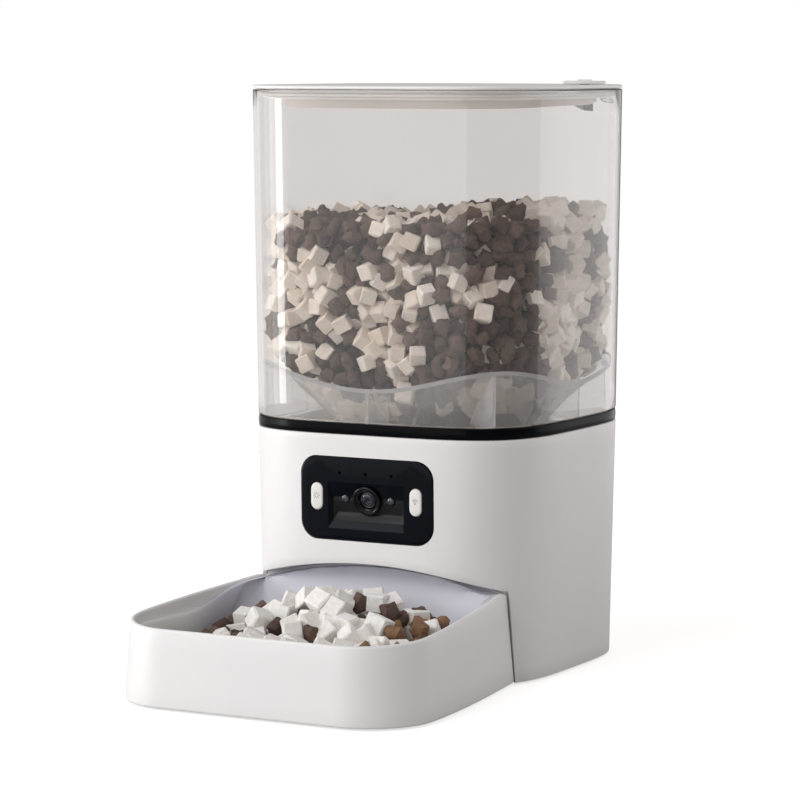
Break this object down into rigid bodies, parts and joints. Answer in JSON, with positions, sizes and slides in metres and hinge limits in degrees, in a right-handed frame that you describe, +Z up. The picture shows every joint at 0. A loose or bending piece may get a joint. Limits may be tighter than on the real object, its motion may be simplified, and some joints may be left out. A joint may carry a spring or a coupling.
{
  "type": "automatic pet feeder",
  "caption": "Automatic pet feeder with a camera panel, a clear lidded food tank over a pocket rotor, and a pull-out feeding tray.",
  "frame": {"origin": "on the floor, under the middle of the whole feeder's box", "axes": "+Z up; -Y towards the animal, out of the tray's front; +X to the right seen from the front"},
  "size_m": [0.1872, 0.3097, 0.3352],
  "materials": {
    "white_shell": "satin white moulded shell",
    "clear_tank": "clear smoky acrylic",
    "black_gloss": "black gloss",
    "black_satin": "black satin",
    "dark_lens": "dark coated lens",
    "button_white": "white key",
    "soft_grey": "soft grey silicone",
    "rotor_green": "pale green moulded rotor",
    "nylon": "natural nylon",
    "steel": "bright steel",
    "circuit_board": "green solder mask",
    "black_rubber": "black rubber",
    "cell_wrap": "printed foil wrap"
  },
  "bodies": {
    "base": {"base_housing": "white_shell", "tray_bay": "white_shell", "trim_band": "black_gloss", "deck": "white_shell", "bottom_cover": "white_shell", "cover_screw_1": "steel", "cover_screw_2": "steel", "cover_screw_3": "steel", "cover_screw_4": "steel", "battery_box": "black_satin", "battery_cell_1": "cell_wrap", "battery_cell_2": "cell_wrap", "battery_cell_3": "cell_wrap", "battery_contact_front": "steel", "battery_contact_rear": "steel", "foot_1": "black_rubber", "foot_2": "black_rubber", "foot_3": "black_rubber", "foot_4": "black_rubber", "rotor_chamber": "white_shell", "chute": "white_shell", "motor": "steel", "gearbox_case": "black_satin", "gearbox_lid": "black_satin", "idler_axle": "steel", "control_board": "circuit_board", "speaker": "black_satin", "power_jack": "black_satin", "camera_panel": "black_gloss", "camera_hood": "black_satin", "lens_ring": "black_gloss", "camera_lens": "dark_lens", "infrared_lamp_left": "dark_lens", "infrared_lamp_right": "dark_lens", "camera_board": "circuit_board", "panel_board": "circuit_board", "microphone": "steel", "light_sensor": "dark_lens", "status_lamp": "button_white"},
    "dosing_rotor": {"rotor": "rotor_green", "stirrer": "soft_grey", "drive_shaft": "steel", "output_gear": "nylon"},
    "idler": {"idler_gear": "nylon"},
    "pinion": {"motor_pinion": "steel"},
    "feed_key": {"feed_button": "button_white"},
    "link_key": {"link_button": "button_white"},
    "door": {"battery_door": "white_shell"},
    "tank": {"tank_shell": "clear_tank", "funnel": "clear_tank"},
    "lid": {"lid_cover": "white_shell", "lid_skirt": "white_shell", "lid_seal": "soft_grey", "lid_liner": "white_shell"},
    "lid_lock": {"lid_knob": "white_shell", "lid_cam": "black_satin"},
    "tray": {"tray_shell": "white_shell", "tray_basin": "white_shell", "tray_foot_1": "black_rubber", "tray_foot_2": "black_rubber"}
  },
  "joints": [
    {"name": "rotor_spin", "type": "hinge", "parent": "base", "child": "dosing_rotor", "pos_m": [0, 0.06453, 0.1], "axis": [0, 0, 1], "continuous": true},
    {"name": "idler_spin", "type": "hinge", "parent": "base", "child": "idler", "pos_m": [0, 0.09053, 0.097], "axis": [0, 0, 1], "continuous": true},
    {"name": "pinion_spin", "type": "hinge", "parent": "base", "child": "pinion", "pos_m": [0.01899, 0.1035, 0.093], "axis": [0, 0, 1], "continuous": true},
    {"name": "feed_press", "type": "slide", "parent": "base", "child": "feed_key", "axis": [0, 1, 0], "range_m": [0, 0.0008], "stiffness_N_per_m": 2000, "springref_m": -0.0002},
    {"name": "link_press", "type": "slide", "parent": "base", "child": "link_key", "axis": [0, 1, 0], "range_m": [0, 0.0008], "stiffness_N_per_m": 2000, "springref_m": -0.0002},
    {"name": "battery_door_slide", "type": "slide", "parent": "base", "child": "door", "axis": [0, 1, 0], "range_m": [0, 0.008]},
    {"name": "tank_lift", "type": "slide", "parent": "base", "child": "tank", "axis": [0, 0, 1], "range_m": [0, 0.06]},
    {"name": "lid_lift", "type": "slide", "parent": "tank", "child": "lid", "axis": [0, 0, 1], "range_m": [0, 0.08]},
    {"name": "lid_lock_turn", "type": "hinge", "parent": "lid", "child": "lid_lock", "pos_m": [0.066, 0.12053, 0.332], "axis": [0, 0, 1], "range_deg": [-90, 0]},
    {"name": "tray_pull", "type": "slide", "parent": "base", "child": "tray", "axis": [0, -1, 0], "range_m": [0, 0.1]}
  ],
  "couplings": [
    {"joint": "idler_spin", "follows": "rotor_spin", "ratio": -3.3333},
    {"joint": "pinion_spin", "follows": "rotor_spin", "ratio": 12}
  ]
}
